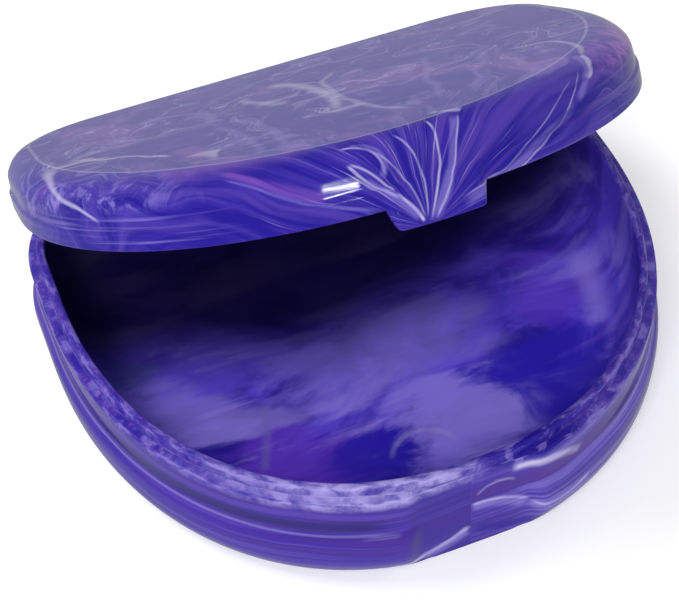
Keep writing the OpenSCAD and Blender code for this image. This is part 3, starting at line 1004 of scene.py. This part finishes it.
# %% Outside of the bowl
def painted_step_band(tree, z, height, core, reach):
    """A soft level band at the given height, full in its core and gone past its reach, for the painted
    shade and painted highlight at the wall's step.
    """
    off = calc(tree, "ABSOLUTE", calc(tree, "SUBTRACT", z, height))
    return fade(tree, off, core, reach, 1.0, 0.0)


def bowl_wall(tree, x, y, z, round_case):
    """Level lines with a slow wave, which break off at the middle of the latch recess, and a painted
    shade band and painted highlight line at the wall's step.
    """
    past_middle = fade(tree, x, -0.55, -0.4)
    across = times(tree, past_middle, 5.0)
    wave = grain(tree, (times(tree, round_case, 0.05), times(tree, past_middle, 7.0), 2.0), 2.0)
    high = calc(tree, "ADD", z, times(tree, wave, 3.4))
    lines = grain(tree, (times(tree, round_case, 0.012), times(tree, high, 0.85), across), 4.0, 0.55)
    thin = grain(tree, (times(tree, round_case, 0.02), times(tree, high, 3.2), across), 3.0, 0.6)
    to_right = fade(tree, x, 3.0, 9.0)
    dull = product(tree, fade(tree, x, -9.5, -7.5), calc(tree, "SUBTRACT", 1.0, past_middle))
    clear = calc(tree, "MAXIMUM", fade(tree, x, -14.0, -9.0, 1.0, 0.0), fade(tree, x, 16.0, 24.0))
    layers = [
        (VIOLET, fade(tree, lines, 0.42, 0.6)),
        (LAVENDER, fade(tree, lines, 0.6, 0.74, 0.0, 0.5)),
        (LAVENDER, product(tree, fade(tree, lines, 0.42, 0.56, 0.1, 0.6), to_right)),
        (rgb(86, 50, 132), fade(tree, lines, 0.36, 0.5, 0.55, 0.0)),
        (INK, fade(tree, thin, 0.28, 0.40, 0.35, 0.0)),
        (LAVENDER, fade(tree, thin, 0.62, 0.74, 0.0, 0.6)),
        (rgb(54, 38, 140), times(tree, dull, 0.55)),
        # A painted shade band above the wall's step, and a painted highlight line on its edge, both kept
        # clear of the recess.
        (INK, product(tree, painted_step_band(tree, z, 9.7, 0.5, 1.5), times(tree, clear, 0.6))),
        (PALE, product(tree, painted_step_band(tree, z, 8.1, 0.05, 0.25), times(tree, clear, 0.16)))]
    colour = ROYAL
    for ink, mask in layers:
        colour = over(tree, colour, ink, mask)
    shaken = calc(tree, "ADD", z, times(tree, thin, 0.5, -0.25))
    worn = fade(tree, lines, 0.3, 0.62, 0.3, 0.9)
    at_front = fade(tree, y, -26.0, -20.0, 1.0, 0.0)
    return swirled(tree, colour, x, shaken, RECESS_SWIRLS, product(tree, worn, at_front))


# %% Rim of the bowl
def bowl_rim(tree, x, y, row, round_case):
    """Short blotchy dashes along the ledge and the lip, palest at the front left."""
    dash = grain(tree, (times(tree, round_case, 0.34), times(tree, row, 0.16), 6.0), 4.0, 0.6, 0.3)
    speck = grain(tree, (times(tree, round_case, 0.9), times(tree, row, 0.35), 1.0), 3.0, 0.6)
    whitest = product(tree, fade(tree, x, -36.0, -12.0), fade(tree, x, -6.0, 3.0, 1.0, 0.0))
    deep_patch = blob(tree, x, y, (8.0, -32.5), (8.0, 4.0), 0.9)
    layers = [
        (VIOLET, fade(tree, dash, 0.36, 0.56)),
        (LAVENDER, fade(tree, dash, 0.50, 0.62, 0.0, 0.7)),
        (STEEL, fade(tree, speck, 0.32, 0.45, 0.6, 0.0)),
        (PINK, fade(tree, speck, 0.56, 0.74, 0.0, 0.55)),
        (rgb(184, 174, 232), product(tree, fade(tree, dash, 0.32, 0.62, 0.1, 0.7), whitest)),
        (DEEP, product(tree, deep_patch, fade(tree, dash, 0.66, 0.5)))]
    colour = ROYAL
    for ink, mask in layers:
        colour = over(tree, colour, ink, mask)
    return colour


# %% Blend the three paints by row
def bowl_colour(tree):
    """The whole paint of the bowl."""
    x, y, z = stored(tree, "shut")
    row = add(tree, "ShaderNodeAttribute", attribute_name="row").outputs["Fac"]
    around = add(tree, "ShaderNodeAttribute", attribute_name="around").outputs["Fac"]
    round_case = times(tree, around, 1 / MM)
    wall_paint = bowl_wall(tree, x, y, z, round_case)
    rim_paint = bowl_rim(tree, x, y, row, round_case)
    colour = over(tree, wall_paint, rim_paint, fade(tree, row, RIM_FIRST - 3, RIM_FIRST + 1))
    inside_paint = bowl_inside(tree, x, y, z)
    return over(tree, colour, inside_paint, fade(tree, row, RIM_LAST - 1, RIM_LAST + 5))


def bowl_roughness(tree):
    """The inside is duller than the polished outside."""
    row = add(tree, "ShaderNodeAttribute", attribute_name="row").outputs["Fac"]
    return fade(tree, row, RIM_LAST - 2, RIM_LAST + 4, 0.1, 0.42)


# %% [markdown]
# ## Painting the hinge
# The hinge is of the same melt, but its parts are too small for swirls. Fine streaks along
# the axis are enough. They read the object's own coordinates, so the pin needs no attribute.

# %% Paint the hinge
def hinge_colour(tree):
    """Fine streaks along the hinge axis."""
    x, y, z = apart(tree, add(tree, "ShaderNodeTexCoord").outputs["Object"])
    streak = grain(tree, [times(tree, x, 90.0), times(tree, y, 500.0), times(tree, z, 500.0)], 4.0)
    colour = over(tree, DEEP, VIOLET, fade(tree, streak, 0.4, 0.6))
    return over(tree, colour, LAVENDER, fade(tree, streak, 0.6, 0.72, 0.0, 0.7))


# %% Put the plastics on
lid_plastic = gloss("lid_plastic", lid_colour)
bowl_plastic = gloss("bowl_plastic", bowl_colour, roughness_of=bowl_roughness)
hinge_plastic = gloss("hinge_plastic", hinge_colour, 0.2)
pin = bpy.data.objects["hinge_pin"]
dressed = [(lid, lid_plastic), (bowl, bowl_plastic), (lid_row, hinge_plastic),
           (bowl_row, hinge_plastic), (pin, hinge_plastic)]
for piece, material in dressed:
    piece.data.materials.clear()
    piece.data.materials.append(material)
print("nodes in the lid's paint", len(lid_plastic.node_tree.nodes))
print("nodes in the bowl's paint", len(bowl_plastic.node_tree.nodes))


# %% [markdown]
# ## Opening the lid
# The lid was made shut, where its section is easy to draw. Now its mesh is turned about the
# hinge axis to the open stance, and not its object, so that the object stays unturned. Then
# each piece is told which body it rides on, and the plain bowl and lid are hidden.

# %% Open the lid
about_hinge = (
    Matrix.Translation((0, hinge_y * MM, hinge_z * MM))
    @ Matrix.Rotation(math.radians(-lid_open), 4, "X")
    @ Matrix.Translation((0, -hinge_y * MM, -hinge_z * MM)))
for piece in (lid, lid_row):
    piece.data.transform(about_hinge)
for piece, body in ((bowl, "bowl"), (bowl_row, "bowl"), (lid, "lid"), (lid_row, "lid")):
    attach(piece, body)
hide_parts("bowl")
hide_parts("lid")
print("lid's box", points_of(lid.data).min(0).round(1), points_of(lid.data).max(0).round(1))
